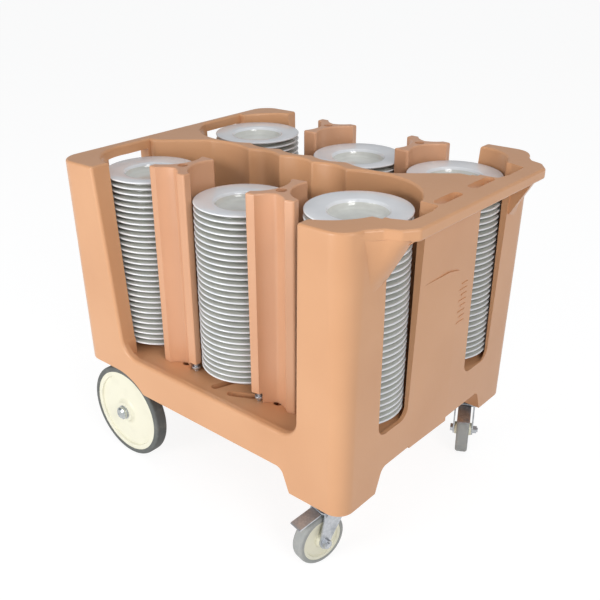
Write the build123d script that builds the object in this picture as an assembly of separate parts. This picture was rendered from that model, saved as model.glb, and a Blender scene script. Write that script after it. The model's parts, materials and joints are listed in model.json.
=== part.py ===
from build123d import *
from math import cos, radians, sin, sqrt, tan
import os

# Plate dispenser cart: a moulded bin on two large rear wheels and two swivel casters, open along
# both long sides, with a wavy dividing wall, four sliding towers and six stacks of plates.
# Millimetres, +Z up from the ground. The push bar is at +X, the open sides face -Y and +Y.
# The two sides are the same shape, turned half round about the middle of the cart.

# ---- moulded body ----
body_length = 881
body_width = 732
rim_height = 806.5  # top of the rim at mid length
rim_slope = 1.15  # degrees, the rim rises towards the push bar
side_draft = 1.19  # degrees, the body widens upwards
corner_radius = 54
rim_rounding = 6
upright_rounding = 8  # upright edges of the side openings and crests of the dividing wall
skirt_height = 222
foot_height = 162
foot_length = 163
foot_width = 138
foot_batter = 20  # how much a foot widens from its sole to the skirt
foot_arch_radius = 22
floor_height = 308
sill_height = 315
side_wall_thickness = 28
rear_wall_thickness = 32
front_wall_thickness = 20

# ---- openings of the body ----
opening_rear_x = -306  # at the rim
opening_front_x = 314
opening_rear_batter = 36  # how much the opening closes in, rim to sill
opening_front_batter = 14
opening_corner_radius = 48
window_inner_y = 110
window_outer_y = 244
window_batter = 12
window_sill_height = 312
window_corner_radius = 28
rail_depth = 24  # height of the rail over the rear windows

# ---- dividing wall ----
wave_crest_y = 25
wave_trough_y = 10
wave_pitch = 100
wave_crest_x = -32  # the crest nearest the middle
block_length = 56  # end blocks that carry the dividing wall
block_width = 208
wall_half_thickness = 2

# ---- push bar ----
bar_projection = 74.5  # past the end of the body
bar_width = 40
bar_depth = 26
bar_half_length = 292
bar_rounding = 6
gusset_foot_height = 688
gusset_width = 40
finger_hole_length = 88
finger_hole_width = 26
finger_hole_y = 66
finger_hole_setback = 4

# ---- graduation on the front wall ----
mark_count = 8
mark_pitch = 14
mark_height = 478
mark_length = 22
mark_width = 3
mark_relief = 1.2
step_relief = 3
step_top = 627
step_foot = 216
step_side = 50  # distance of the upright edge of the step from the middle
step_batter = 9

# ---- towers ----
tower_height = 503
tower_depth = 132
tower_half_width = 58
tower_waist = 16
tower_stem = 20
tower_hole_diameter = 24
tower_hole_depth = 60
tower_notch_width = 38
tower_notch_height = 26
tower_rounding = 4
tower_clearance = 0.3
tower_travel = 16
clamp_offset = 44
clamp_y = -118
latch_pin_diameter = 12
latch_knob_diameter = 22
latch_knob_height = 6
latch_clearance = 0.4
latch_lift = 8
slot_width = 21
slot_depth = 16
slot_length = 92
spare_slot_length = 76
spare_slots = [((14, -276), 70), ((80, -288), 27)]  # middle and heading, seen from each long side

# ---- plates ----
plate_diameter = 228.6
plate_foot_diameter = 150
plate_foot_recess = 2
plate_well_diameter = 136
plate_depth = 27
plate_wall = 4.5
pocket_clearance = 3
front_pocket_clearance = 28  # the front pockets also take larger plates

# ---- rear wheels ----
rear_wheel_diameter = 254
rear_tyre_width = 34
rear_tyre_depth = 14
rear_axle_x = -307
rear_wheel_outer_y = 347
rear_axle_diameter = 20
rear_bush_wall = 4
rear_hub_width = 44
rear_hub_boss = 52
rear_cap_diameter = 34
rear_cap_length = 12
rear_tyre_shoulder = 6
rear_web_recess = 6
axle_end_length = 7
washer_thickness = 2
collar_length = 8
bracket_y = 240
bracket_length = 110
bracket_width = 64
bracket_thickness = 6
bracket_eye_wall = 12
wheel_well_clearance = 9
well_side_clearance = 6
running_clearance = 0.05
side_clearance = 0.5
fit_gap = 0.02
bolt_diameter = 8
bolt_length = 24
bolt_hole_clearance = 0.3

# ---- front casters ----
caster_x = 355
caster_y = 291
caster_wheel_diameter = 125
caster_tyre_width = 32
caster_tyre_depth = 11
caster_trail = 40
caster_plate_length = 100
caster_plate_width = 84
caster_plate_thickness = 3.2
caster_fork_thickness = 3.6
caster_fork_gap = 46
caster_axle_diameter = 12
caster_bush_wall = 3
kingpin_diameter = 12
race_diameter = 62
race_height = 15
race_gap = 0.3
kingpin_head = 6
crown_length = 72
crown_shift = 10
fork_eye_wall = 9
caster_web_recess = 5
near_swivel = -12.6  # degrees, the turn of the trailing wheel from -Y
far_swivel = 27.6
pedal_width = 34
pedal_thickness = 3
pedal_pin_diameter = 6
pedal_pin_back = 36
pedal_pin_height = 134
pedal_reach = 66
pedal_drop = 16


def prism(points, low, high, radius=0, corners=()):
    """Upright solid over a plan outline, with some of its corners rounded."""
    face = make_face(Polyline(*points, close=True))
    if radius:
        picked = [face.vertices().sort_by_distance(Vector(*points[i]))[0] for i in corners]
        face = fillet(picked, radius)
    return extrude(Pos(0, 0, low) * face, high - low)


def side_prism(points, low_y, high_y, radius=0, corners=()):
    """Solid over an outline in X and Z, from low_y to high_y."""
    face = make_face(Polyline(*points, close=True))
    if radius:
        picked = [face.vertices().sort_by_distance(Vector(*points[i]))[0] for i in corners]
        face = fillet(picked, radius)
    plane = Plane((0, high_y, 0), x_dir=(1, 0, 0), z_dir=(0, -1, 0))
    return extrude(plane * face, high_y - low_y)


def end_prism(points, low_x, high_x, radius=0, corners=()):
    """Solid over an outline in Y and Z, from low_x to high_x."""
    face = make_face(Polyline(*points, close=True))
    if radius:
        picked = [face.vertices().sort_by_distance(Vector(*points[i]))[0] for i in corners]
        face = fillet(picked, radius)
    plane = Plane((low_x, 0, 0), x_dir=(0, 1, 0), z_dir=(1, 0, 0))
    return extrude(plane * face, high_x - low_x)


# ---------------------------------------------------------------- moulded body
far_out = 900  # past every face of the body
top_of_cuts = 1000
half_length = body_length / 2
bar_reach = half_length + bar_projection
half_width = body_width / 2
lean = tan(radians(side_draft))
rim_rise = tan(radians(rim_slope))
rear_radius = rear_wheel_diameter / 2
well_radius = rear_radius + wheel_well_clearance
wheel_inner_y = rear_wheel_outer_y - rear_hub_width
plate_radius = plate_diameter / 2
pocket_radius = plate_radius + pocket_clearance
front_pocket_radius = plate_radius + front_pocket_clearance
inner_wall_x = half_length - rear_wall_thickness
inner_wall_y = half_width - side_wall_thickness

# Places of the stacks: the rear, middle and front one of the near side, then of the far side.
stack_places = [(-293, -199), (12, -194), (312, -168), (-296, 181), (36, 200), (308, 214)]
stack_heights = [762, 750, 790, 779, 771, 772]
rear_pocket_near = stack_places[0]
rear_pocket_far = (-stack_places[5][0], -stack_places[5][1])  # as seen after the half turn
front_pocket = (266, -197)

# Towers: place of the inner end, heading of the outer end and side of the clamp.
tower_places = [(-130, -160), (144, -153), (-108, 178), (172, 186)]
tower_headings = [0, 12, 182, 180]
clamp_sides = [1, -1, -1, 1]


def rim_at(x):
    """Height of the rim at one place along the body."""
    return rim_height + x * rim_rise


def outer_block():
    """Tapered block with rounded corners, its rim cut at a slope."""
    top = rim_at(half_length) + 10
    shrink = (top - foot_height) * lean
    length = body_length - 2 * shrink
    width = body_width - 2 * shrink
    sole = RectangleRounded(length, width, corner_radius - shrink)
    block = extrude(Pos(0, 0, foot_height) * sole, top - foot_height, taper=-side_draft)
    above = Pos(0, 0, rim_height) * Rot(0, -rim_slope, 0) * Box(
        2 * far_out, 2 * far_out, 200, align=(Align.CENTER, Align.CENTER, Align.MIN)
    )
    return block - above


def underside():
    """Spaces below the skirt, behind the feet and between them."""
    foot_back = half_length - foot_length
    foot_side = half_width - foot_width
    sole = foot_height - 50
    behind = side_prism(
        [(-far_out, sole), (foot_back + foot_batter, sole), (foot_back - foot_batter, skirt_height),
         (-far_out, skirt_height)],
        -far_out, far_out, foot_arch_radius, (2,),
    )
    between = end_prism(
        [(-foot_side - foot_batter, sole), (foot_side + foot_batter, sole),
         (foot_side - foot_batter, skirt_height), (foot_batter - foot_side, skirt_height)],
        0, far_out, foot_arch_radius, (2, 3),
    )
    return [behind, between]


def wheel_well(side):
    """Arch over one rear wheel, open to the rear."""
    arch = Cylinder(well_radius, far_out, rotation=(90, 0, 0))
    rear = Box(far_out, far_out, 2 * well_radius, align=(Align.MAX, Align.CENTER, Align.CENTER))
    place = Pos(rear_axle_x, side * (wheel_inner_y - well_side_clearance + far_out / 2), rear_radius)
    return place * (arch + rear)


def bay_outline(rear_pocket):
    """Plan of one bay: the rear pocket, the open middle, the front pocket and the wavy wall."""
    block_y = block_width / 2
    cx, cy = rear_pocket
    opening_rear = opening_rear_x + opening_rear_batter
    opening_front = opening_front_x - opening_front_batter
    pocket_front_y = cy - sqrt(pocket_radius**2 - (opening_rear - cx) ** 2)
    wall_x = -inner_wall_x
    pocket_rear_y = cy + sqrt(pocket_radius**2 - (wall_x - cx) ** 2)
    fx, fy = front_pocket
    front_wall = half_length - front_wall_thickness
    tip = Vector(fx, fy) + Vector(cos(radians(-18)), sin(radians(-18))) * front_pocket_radius
    front_start_y = fy - sqrt(front_pocket_radius**2 - (opening_front - fx) ** 2)
    diagonal = Vector(cos(radians(-42)), sin(radians(-42))) * front_pocket_radius
    crests = [wave_crest_x + i * wave_pitch for i in (2, 1, 0, -1)]
    lines = [
        Line((opening_rear, -inner_wall_y), (opening_front, -inner_wall_y)),
        Line((opening_front, -inner_wall_y), (opening_front, front_start_y)),
        ThreePointArc((opening_front, front_start_y), Vector(fx, fy) + diagonal, tip),
        Line(tip, (front_wall, tip.Y)),
        Line((front_wall, tip.Y), (front_wall, -block_y)),
        ThreePointArc((front_wall, -block_y), (crests[0] + 1.15 * wave_pitch, -wall_half_thickness),
                      (crests[0], -wave_crest_y)),
    ]
    for start, end in zip(crests, crests[1:]):
        middle = ((start + end) / 2, -wave_trough_y)
        lines.append(ThreePointArc((start, -wave_crest_y), middle, (end, -wave_crest_y)))
    shoulder = (crests[-1] - 1.4 * wave_pitch, -wave_crest_y + 5)
    middle = ((crests[-1] + shoulder[0]) / 2, -wave_trough_y)
    block_x = block_length - half_length
    lines += [
        ThreePointArc((crests[-1], -wave_crest_y), middle, shoulder),
        Line(shoulder, (block_x, -block_y)),
        Line((block_x, -block_y), (wall_x, -block_y)),
        Line((wall_x, -block_y), (wall_x, pocket_rear_y)),
        ThreePointArc((wall_x, pocket_rear_y),
                      Vector(cx, cy) - Vector(1, 1).normalized() * pocket_radius,
                      (opening_rear, pocket_front_y)),
        Line((opening_rear, pocket_front_y), (opening_rear, -inner_wall_y)),
    ]
    return make_face(lines)


def bay(rear_pocket):
    """Hollow of the near bay and its side opening."""
    hollow = extrude(Pos(0, 0, floor_height) * bay_outline(rear_pocket), top_of_cuts - floor_height)
    rise = (top_of_cuts - sill_height) / (rim_height - sill_height)
    opening = side_prism(
        [(opening_rear_x + opening_rear_batter, sill_height),
         (opening_front_x - opening_front_batter, sill_height),
         (opening_front_x + opening_front_batter * (rise - 1), top_of_cuts),
         (opening_rear_x - opening_rear_batter * (rise - 1), top_of_cuts)],
        -far_out, -inner_wall_y + 45, opening_corner_radius, (0, 1),
    )
    return [hollow, opening]


def end_window(top, low_x, high_x):
    """Upright window through an end wall, beside the middle block, on the near side."""
    grow = window_batter * (top - window_sill_height) / (rim_height - window_sill_height)
    return end_prism(
        [(-window_outer_y + window_batter, window_sill_height),
         (-window_inner_y - window_batter, window_sill_height),
         (-window_inner_y - window_batter + grow, top),
         (-window_outer_y + window_batter - grow, top)],
        low_x, high_x, window_corner_radius, (0, 1),
    )


def on_rim(edge):
    """Whether an edge lies in the plane of the rim."""
    points = [edge @ 0, edge @ 0.5, edge @ 1]
    return all(abs(point.Z - rim_at(point.X)) < 0.05 for point in points)


def upright_edges(body, low_y, high_y):
    """Tall edges, between the end walls, whose middle lies between two distances from mid width."""
    tall = (rim_height - sill_height) / 3
    picked = []
    for edge in body.edges():
        middle = edge @ 0.5
        rise = abs((edge @ 0).Z - (edge @ 1).Z)
        if rise > tall and low_y < abs(middle.Y) < high_y and abs(middle.X) < opening_front_x + 10:
            picked.append(edge)
    return picked


def rounded(body):
    """The same body with soft upright edges and a soft rim."""
    body = fillet(upright_edges(body, inner_wall_y + 10, half_width), upright_rounding)
    crest_edges = [
        edge for edge in upright_edges(body, wave_crest_y - 1, wave_crest_y + 1)
        if abs((edge @ 0.5).X) < 2 * wave_pitch
    ]
    body = fillet(crest_edges, upright_rounding)
    return fillet([edge for edge in body.edges() if on_rim(edge)], rim_rounding)


def above_rim(height):
    """Space above the sloping rim."""
    box = Box(2 * far_out, 2 * far_out, height, align=(Align.CENTER, Align.CENTER, Align.MIN))
    return Pos(0, 0, rim_height) * Rot(0, -rim_slope, 0) * box


def push_bar():
    """Flared bar across the front, with its webs, gussets and two finger holes."""
    top = top_of_cuts - 100
    bottom = rim_at(bar_reach) - bar_depth
    root = half_length - 14
    half = [
        (root, -half_width + 30),
        (half_length + 22, -bar_half_length),
        (bar_reach - 22, -bar_half_length + 12),
        (bar_reach, -bar_half_length + 42),
    ]
    outline = half + [(x, -y) for x, y in reversed(half)]
    slab = prism(outline, bottom, top, 14, (1, 2, 3, 4, 5, 6)) - above_rim(400)
    ahead = [edge for edge in slab.edges() if (edge @ 0.5).X > root + 1]
    slab = fillet([edge for edge in ahead if abs((edge @ 0).Z - (edge @ 1).Z) < bar_depth / 3], bar_rounding)
    inner = bar_reach - bar_width
    web_y = block_width / 2
    gap_outer = window_outer_y - 6
    finger_x = half_length + finger_hole_setback
    for side in (-1, 1):
        gap = prism(
            [(root - 60, side * (web_y + 8)), (inner - 6, side * (web_y + 14)),
             (inner + 2, side * (web_y + 50)), (inner, side * (gap_outer - 14)),
             (root + 12, side * gap_outer), (root - 60, side * gap_outer)],
            0, top, 8, (1, 2, 3, 4),
        )
        hole = Rot(0, 0, 90) * SlotOverall(finger_hole_length, finger_hole_width)
        hole = Pos(finger_x + finger_hole_width / 2, side * finger_hole_y, 0) * hole
        slab = slab - gap - extrude(hole, top)
    gusset_outer = bar_half_length - 6
    profile = [(root, gusset_foot_height), (root, bottom + 5), (bar_reach - 12, bottom + 5),
               (bar_reach - 12, bottom - 2), (bar_reach - 32, bottom - 18)]
    near = side_prism(profile, -gusset_outer, gusset_width - gusset_outer)
    far = side_prism(profile, gusset_outer - gusset_width, gusset_outer)
    return slab + near + far


def slot_cut(place, heading, length):
    """Round-ended slot in the floor, which guides a tower."""
    cut = extrude(Pos(0, 0, floor_height - slot_depth) * SlotOverall(length, slot_width), slot_depth + 1)
    return Pos(place[0], place[1], 0) * Rot(0, 0, heading) * cut


def front_step():
    """Low raised panel on the front wall, whose upper and far edges show as a bent line."""
    outline = [(-window_inner_y + step_batter, step_foot), (step_side, step_foot),
               (step_side, step_top - 2 * step_batter), (step_side - step_batter, step_top - step_batter),
               (0, step_top), (-window_inner_y + step_batter, step_top)]
    root = half_length - 20
    panel = end_prism(outline, root, half_length + step_relief, 4, (2, 3))
    face = rim_at(half_length) * lean
    keep = Pos(half_length + step_relief - face, 0, 0) * Rot(0, side_draft, 0) * Box(
        400, body_width, 2 * far_out, align=(Align.MAX, Align.CENTER, Align.CENTER))
    return panel & keep


def front_marks():
    """Low graduation bars on the front wall."""
    marks = []
    for i in range(mark_count):
        z = mark_height + i * mark_pitch
        face = half_length - (rim_at(half_length) - z) * lean
        length = mark_length if i % 2 else mark_length * 1.5
        bar = Box(mark_relief + 2, length, mark_width, align=(Align.MAX, Align.MIN, Align.CENTER))
        marks.append(Pos(face + mark_relief, window_inner_y - 22 - length, z) * bar)
    return marks


def bolt_circle(centre, length, width):
    """Four bolt places on a rectangle about a centre."""
    return [(centre[0] + i * length / 2, centre[1] + j * width / 2) for i in (-1, 1) for j in (-1, 1)]


def caster_bolt_places(side):
    """Places of the four bolts of one caster plate."""
    return bolt_circle((caster_x, side * caster_y), caster_plate_length - 22, caster_plate_width - 22)


def bracket_bolt_places(side):
    """Places of the four bolts of one axle bracket."""
    return bolt_circle((rear_axle_x, side * bracket_y), bracket_length - 24, bracket_width - 24)


def cart_body():
    """Moulded body in one piece."""
    body = outer_block()
    for cut in underside() + [wheel_well(1), wheel_well(-1)]:
        body -= cut
    for cut in bay(rear_pocket_near) + [Rot(0, 0, 180) * cut for cut in bay(rear_pocket_far)]:
        body -= cut
    rail_bottom = rim_at(-half_length) - rail_depth
    for window in (end_window(top_of_cuts, inner_wall_x - 40, far_out),
                   end_window(rail_bottom, -far_out, 30 - inner_wall_x)):
        body -= window
        body -= mirror(window, Plane.XZ)
    body = rounded(body)
    body += push_bar()
    body += front_step()
    for i in range(4):
        body -= slot_cut(slot_centre(i), tower_headings[i] + 90, slot_length)
    for centre, heading in spare_slots:
        spare = slot_cut(centre, heading, spare_slot_length)
        body = body - spare - Rot(0, 0, 180) * spare
    for side in (-1, 1):
        for x, y in caster_bolt_places(side):
            body -= Pos(x, y, foot_height) * hole_upwards
        for x, y in bracket_bolt_places(side):
            body -= Pos(x, y, skirt_height) * hole_upwards
        body -= Pos(caster_x, side * caster_y, foot_height) * Cylinder(
            kingpin_diameter / 2 + 4, 24, align=(Align.CENTER, Align.CENTER, Align.MIN)
        )
    for mark in front_marks():
        body += mark
    return body


# ---------------------------------------------------------------- fasteners
upright = (Align.CENTER, Align.CENTER, Align.MIN)
hanging = (Align.CENTER, Align.CENTER, Align.MAX)
bolt_shank = bolt_diameter / 2
bolt_hole = bolt_shank + bolt_hole_clearance
hole_upwards = Cylinder(bolt_hole, bolt_length + 2, align=upright)


def hex_prism(across_flats, height, align=upright):
    """Six-sided head or nut, its flats facing X."""
    return extrude(RegularPolygon(across_flats / 2, 6, major_radius=False), height) if align == upright \
        else extrude(RegularPolygon(across_flats / 2, 6, major_radius=False), -height)


def bolt_from_below(seat_height):
    """Bolt pushed up through a plate whose lower face is the seat."""
    head = hex_prism(1.6 * bolt_diameter, 0.65 * bolt_diameter, hanging)
    shank = Cylinder(bolt_shank, bolt_length, align=upright)
    return Pos(0, 0, seat_height) * (head + shank)


# ---------------------------------------------------------------- towers
def slot_centre(i):
    """Middle of the floor slot that one tower slides along, in plan."""
    turn = Rot(0, 0, tower_headings[i]) * Pos(0, -(tower_depth + tower_travel) / 2, 0)
    return (tower_places[i][0] + turn.position.X, tower_places[i][1] + turn.position.Y)


def tower_frame(i):
    """Location of one tower: its inner end, turned to its heading, on the floor."""
    return Pos(tower_places[i][0], tower_places[i][1], floor_height) * Rot(0, 0, tower_headings[i])


def tower_half_outline():
    """Right half of a tower's plan, from the inner end to the outer face."""
    tip = tower_half_width
    return [
        Line((0, 0), (tower_stem - 6, 0)),
        ThreePointArc((tower_stem - 6, 0), (tower_stem - 1.8, -1.8), (tower_stem, -6)),
        ThreePointArc((tower_stem, -6), (tower_waist + 1, -0.55 * tower_depth), (tip, 18 - tower_depth)),
        Line((tip, 18 - tower_depth), (tip, 2 - tower_depth)),
        ThreePointArc((tip, 2 - tower_depth), (tip - 2, -tower_depth), (tip - 6, -tower_depth - 1)),
        Line((tip - 6, -tower_depth - 1), (tip - 22, -tower_depth - 1)),
        ThreePointArc((tip - 22, -tower_depth - 1), (tip - 34, 12 - tower_depth), (0, 24 - tower_depth)),
    ]


def tower(clamp_side):
    """Moulded tower in its own frame, its inner end at the origin and its outer end towards -Y."""
    half = tower_half_outline()
    outline = make_face(half + [mirror(line, Plane.YZ) for line in half])
    body = extrude(Pos(0, 0, tower_clearance) * outline, tower_height - tower_clearance)
    body = fillet(body.edges().group_by(Axis.Z)[-1], tower_rounding)
    tongue = extrude(Pos(0, -tower_depth / 2, 1 - slot_depth) * Rot(0, 0, 90) * SlotOverall(
        slot_length - tower_travel - 2, slot_width - 0.8), slot_depth)
    body += tongue
    hole_y = -0.62 * tower_depth
    body -= Pos(0, hole_y, tower_height) * Cylinder(
        tower_hole_diameter / 2, tower_hole_depth, align=hanging)
    clamp_x = clamp_side * clamp_offset
    notch = Box(tower_notch_width, tower_notch_width, tower_notch_height,
                align=(Align.CENTER, Align.CENTER, Align.MIN))
    notch_x = clamp_offset - latch_knob_diameter / 2 - 2 + tower_notch_width / 2
    body -= Pos(clamp_side * notch_x, clamp_y, tower_clearance) * notch
    body -= Pos(clamp_x, clamp_y, 0) * Cylinder(
        latch_pin_diameter / 2 + latch_clearance, tower_notch_height + latch_lift + 24, align=upright)
    return body


def tower_clamp():
    """Clamp pin under a tower's arm, standing on the floor, with its foot and grip flange."""
    pin = Cylinder(latch_pin_diameter / 2, tower_notch_height + 22, align=upright)
    grip = Pos(0, 0, 7) * Cylinder(latch_knob_diameter / 2, latch_knob_height, align=upright)
    grip = fillet(grip.edges(), 1.5)
    return Pos(0, 0, tower_clearance) * (pin + grip)


# ---------------------------------------------------------------- plates
def plate_stack(height):
    """Stack of plates as one turned solid: foot ring below, dished top plate above."""
    top = height - floor_height
    foot = plate_foot_diameter / 2
    well = plate_well_diameter / 2
    profile = Polyline(
        (0, plate_foot_recess), (foot - 6, plate_foot_recess), (foot - 5, 0), (foot, 0),
        (plate_radius - 22, plate_depth - 11), (plate_radius, plate_depth - 2),
        (plate_radius, top), (plate_radius - 2.5, top), (well + 6, top - 12),
        (well - 2, top - plate_depth + plate_wall), (0, top - plate_depth + plate_wall),
        close=True,
    )
    return Pos(0, 0, floor_height) * revolve(Plane.XZ * make_face(profile), Axis.Z)


# ---------------------------------------------------------------- rear wheels
def turned(points, rounding=0, corners=()):
    """Ring about the Y axis from a profile in radius and distance outwards."""
    face = make_face(Polyline(*points, close=True))
    if rounding:
        picked = [face.vertices().sort_by_distance(Vector(*points[i]))[0] for i in corners]
        face = fillet(picked, rounding)
    return revolve(face, Axis.Y)


def rear_tyre():
    """Solid tyre with rounded shoulders; distance 0 is its inner side."""
    rim = rear_radius - rear_tyre_depth
    return turned([(rim, 0), (rear_radius, 0), (rear_radius, rear_tyre_width), (rim, rear_tyre_width)],
                  rear_tyre_shoulder, (1, 2))


def rear_hub():
    """Moulded wheel disc: rim, recessed web and boss, bored for its bush."""
    rim = rear_radius - rear_tyre_depth - fit_gap
    bore = rear_axle_diameter / 2 + rear_bush_wall + running_clearance + fit_gap
    boss = rear_hub_boss / 2
    overhang = (rear_hub_width - rear_tyre_width) / 2
    inner, outer = rear_web_recess, rear_tyre_width - rear_web_recess
    return turned([
        (bore, -overhang), (boss, -overhang), (boss + 3, inner), (rim - 14, inner), (rim - 12, 1), (rim, 1),
        (rim, rear_tyre_width - 1), (rim - 12, rear_tyre_width - 1), (rim - 14, outer),
        (boss + 12, outer), (boss + 6, outer + 3), (boss, rear_tyre_width + overhang),
        (bore, rear_tyre_width + overhang),
    ])


def rear_bush():
    """Plain bush in the bore of a rear hub."""
    overhang = (rear_hub_width - rear_tyre_width) / 2
    inner = rear_axle_diameter / 2 + running_clearance
    return turned([(inner, -overhang), (inner + rear_bush_wall, -overhang),
                   (inner + rear_bush_wall, rear_tyre_width + overhang),
                   (inner, rear_tyre_width + overhang)])


def ring(inner, outer, length):
    """Plain ring about the Y axis, from distance 0 outwards."""
    return turned([(inner, 0), (outer, 0), (outer, length), (inner, length)])


def axle_cap():
    """Domed cap over the end of the rear axle."""
    outer = rear_cap_diameter / 2
    bore = rear_axle_diameter / 2 + fit_gap
    return turned([(bore, 0), (outer, 0), (outer, rear_cap_length - 4), (outer - 5, rear_cap_length),
                   (0, rear_cap_length), (0, axle_end_length), (bore, axle_end_length)])


def axle_bracket():
    """Steel bracket: flange under the body and a rounded web round the axle."""
    drop = skirt_height - rear_radius
    flange = Pos(0, 0, drop) * Box(bracket_length, bracket_width, bracket_thickness, align=hanging)
    eye = rear_axle_diameter / 2 + bracket_eye_wall
    web = make_face(Polyline((-bracket_length / 2 + 6, drop - 1), (bracket_length / 2 - 6, drop - 1),
                             (eye, 0), (-eye, 0), close=True))
    web = extrude(Plane.XZ * web, bracket_thickness / 2, both=True)
    web += Cylinder(eye, bracket_thickness, rotation=(90, 0, 0))
    body = flange + web
    body -= Cylinder(rear_axle_diameter / 2 + fit_gap, 60, rotation=(90, 0, 0))
    for x, y in bolt_circle((0, 0), bracket_length - 24, bracket_width - 24):
        body -= Pos(x, y, drop) * Cylinder(bolt_hole, 40)
    return body


# ---------------------------------------------------------------- casters
caster_radius = caster_wheel_diameter / 2
plate_bottom = foot_height - caster_plate_thickness
crown_top = plate_bottom - race_height


def caster_plate():
    """Square-cornered top plate with a dished race below it, about its own kingpin."""
    plate = extrude(RectangleRounded(caster_plate_length, caster_plate_width, 8), caster_plate_thickness)
    body = Pos(0, 0, plate_bottom) * plate
    for x, y in bolt_circle((0, 0), caster_plate_length - 22, caster_plate_width - 22):
        body -= Pos(x, y, foot_height) * Cylinder(bolt_hole, 30)
    return body - Pos(0, 0, foot_height) * Cylinder(kingpin_diameter / 2 + fit_gap, 60)


def caster_race():
    """Turned ball race between the plate and the fork."""
    inner = kingpin_diameter / 2 + fit_gap
    outer = race_diameter / 2
    profile = make_face(Polyline(
        (inner, crown_top + race_gap), (outer - 8, crown_top + race_gap), (outer - 6, crown_top + 4),
        (outer, crown_top + 6), (outer, plate_bottom), (inner, plate_bottom), close=True))
    return revolve(Plane.XZ * profile, Axis.Z)


def kingpin():
    """Kingpin, its head below the fork's crown."""
    head_top = crown_top - caster_fork_thickness - race_gap
    shank = Pos(0, 0, head_top) * Cylinder(kingpin_diameter / 2, foot_height + 8 - head_top, align=upright)
    head = Pos(0, 0, head_top) * hex_prism(1.7 * kingpin_diameter, kingpin_head, hanging)
    nut = Pos(0, 0, foot_height) * Cylinder(kingpin_diameter / 2 + 3, 6, align=upright)
    return shank + head + nut


def caster_fork():
    """Pressed fork: crown round the kingpin and two legs that trail to the wheel's axle."""
    half = caster_fork_gap / 2 + caster_fork_thickness
    crown_low = crown_top - caster_fork_thickness
    crown = Pos(0, -crown_shift, crown_low) * extrude(
        RectangleRounded(2 * half, crown_length, 10), caster_fork_thickness)
    eye = caster_axle_diameter / 2 + fork_eye_wall
    leg = make_face(Polyline(
        (crown_length / 2 - crown_shift - 6, crown_low + 1), (-crown_length / 2 - crown_shift + 6, crown_low + 1),
        (-caster_trail - eye, caster_radius + 2), (-caster_trail - eye / 2, caster_radius - eye),
        (-caster_trail + eye / 2, caster_radius - eye), (-caster_trail + eye + 4, caster_radius + 8),
        (crown_length / 2 - crown_shift - 10, crown_low - 14), close=True))
    leg = fillet(leg.vertices().group_by(Axis.Y)[0], eye / 2)
    plane = Plane((half, 0, 0), x_dir=(0, 1, 0), z_dir=(1, 0, 0))
    one = extrude(plane * leg, -caster_fork_thickness)
    body = crown + one + mirror(one, Plane.YZ)
    body -= Cylinder(kingpin_diameter / 2 + running_clearance, 400)
    body -= Pos(0, -caster_trail, caster_radius) * Cylinder(
        caster_axle_diameter / 2 + fit_gap, 200, rotation=(0, 90, 0))
    body -= Pos(0, -pedal_pin_back, pedal_pin_height) * Cylinder(
        pedal_pin_diameter / 2 + running_clearance, 200, rotation=(0, 90, 0))
    return body


def wheel_turned(points, rounding=0, corners=()):
    """Ring about a caster wheel's axle from a profile in radius and distance across."""
    ring_y = turned(points, rounding, corners)
    return Pos(0, -caster_trail, caster_radius) * Rot(0, 0, -90) * ring_y


def caster_tyre():
    """Soft tyre of a caster wheel, with rounded shoulders."""
    rim = caster_radius - caster_tyre_depth
    half = caster_tyre_width / 2
    return wheel_turned([(rim, -half), (caster_radius, -half), (caster_radius, half), (rim, half)], 7, (1, 2))


def caster_hub():
    """Moulded caster hub: rim, recessed web and boss."""
    rim = caster_radius - caster_tyre_depth - fit_gap
    bore = caster_axle_diameter / 2 + caster_bush_wall + running_clearance + fit_gap
    boss = bore + 7
    half = caster_tyre_width / 2
    web = half - caster_web_recess
    wide = caster_fork_gap / 2 - side_clearance
    return wheel_turned([
        (bore, -wide), (boss, -wide), (boss + 2, -web), (rim - 9, -web), (rim - 7, 1 - half), (rim, 1 - half),
        (rim, half - 1), (rim - 7, half - 1), (rim - 9, web), (boss + 2, web), (boss, wide), (bore, wide),
    ])


def caster_bush():
    """Plain bush in a caster hub."""
    inner = caster_axle_diameter / 2 + running_clearance
    wide = caster_fork_gap / 2 - side_clearance
    return wheel_turned([(inner, -wide), (inner + caster_bush_wall, -wide),
                         (inner + caster_bush_wall, wide), (inner, wide)])


def caster_axle_bolt():
    """Axle bolt through the fork legs, its head on one side."""
    seat = caster_fork_gap / 2 + caster_fork_thickness
    shank = Pos(-seat, 0, 0) * Cylinder(caster_axle_diameter / 2, 2 * seat + 13, rotation=(0, 90, 0),
                                        align=(Align.CENTER, Align.CENTER, Align.MIN))
    head = Pos(-seat, 0, 0) * Rot(0, -90, 0) * hex_prism(1.6 * caster_axle_diameter, 7)
    return Pos(0, -caster_trail, caster_radius) * (shank + head)


def caster_axle_nut():
    """Nut on the outer end of the axle bolt."""
    seat = caster_fork_gap / 2 + caster_fork_thickness
    nut = Pos(seat, 0, 0) * Rot(0, 90, 0) * hex_prism(1.6 * caster_axle_diameter, 10)
    nut -= Cylinder(caster_axle_diameter / 2 + fit_gap, 200, rotation=(0, 90, 0))
    return Pos(0, -caster_trail, caster_radius) * nut


def brake_pedal():
    """Foot pedal behind the wheel, with its hinge barrel and the shoe over the tyre."""
    lug = pedal_pin_diameter / 2 + 3
    barrel = Cylinder(lug, pedal_width, rotation=(0, 90, 0))
    arm = end_prism(
        [(0, lug), (-pedal_reach, lug - pedal_drop), (-pedal_reach - 3, lug - pedal_drop - 3),
         (-pedal_reach + 1, lug - pedal_drop - pedal_thickness - 1), (0, lug - pedal_thickness)],
        -pedal_width / 2, pedal_width / 2,
    )
    barrel = barrel + arm
    barrel -= Cylinder(pedal_pin_diameter / 2 + fit_gap, 200, rotation=(0, 90, 0))
    return Pos(0, -pedal_pin_back, pedal_pin_height) * barrel


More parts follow.
